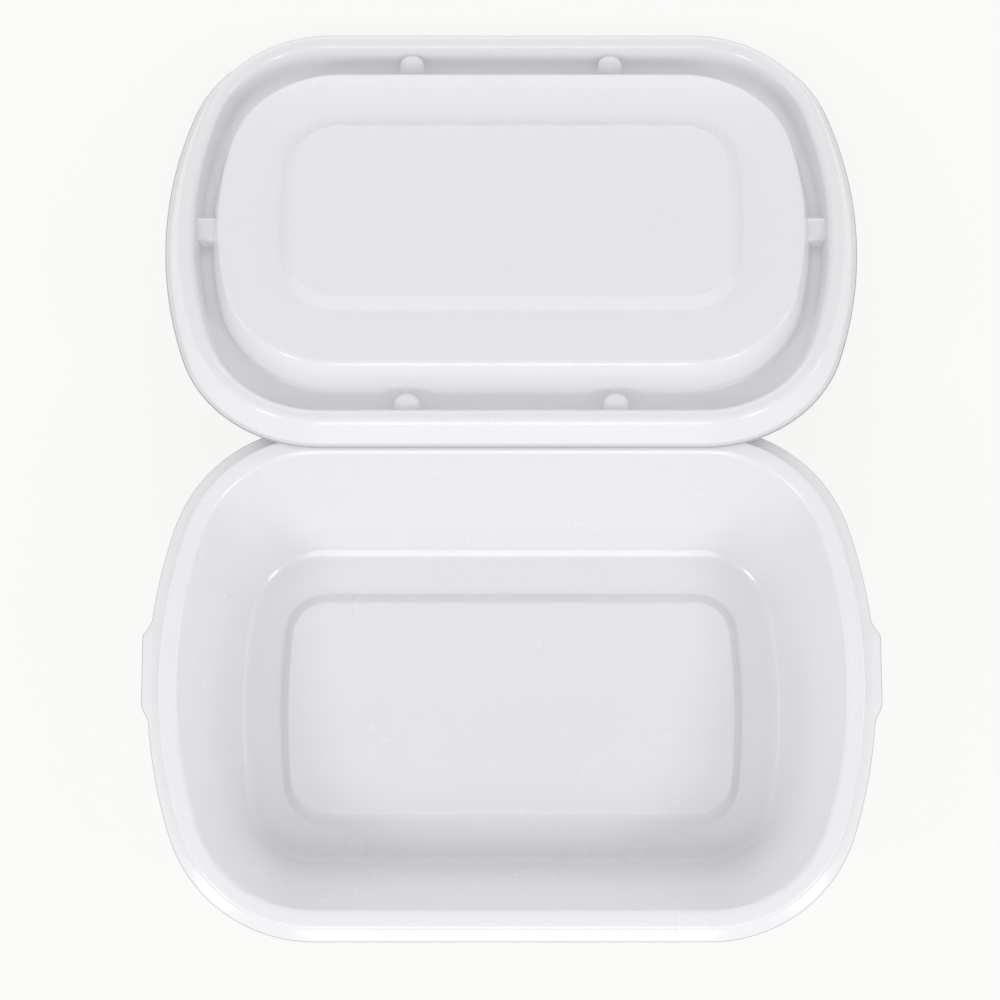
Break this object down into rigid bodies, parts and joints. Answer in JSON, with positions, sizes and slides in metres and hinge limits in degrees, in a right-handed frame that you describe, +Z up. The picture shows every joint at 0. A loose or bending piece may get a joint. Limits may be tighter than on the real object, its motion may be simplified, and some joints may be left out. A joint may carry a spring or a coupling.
{
  "type": "food container with lid",
  "caption": "Shallow rectangular food container with bowed ends, a beaded rim and finger tabs, and its loose press-on lid leaning behind it on the rim.",
  "frame": {"origin": "on the table, under the middle of the container", "axes": "+Z up, +X along the container's long side, +Y to the back, towards the leaning lid"},
  "size_m": [0.2234, 0.3005, 0.0535],
  "materials": {
    "white_plastic": "satin"
  },
  "bodies": {
    "root": {"container": "white_plastic", "lid": "white_plastic"}
  },
  "joints": []
}
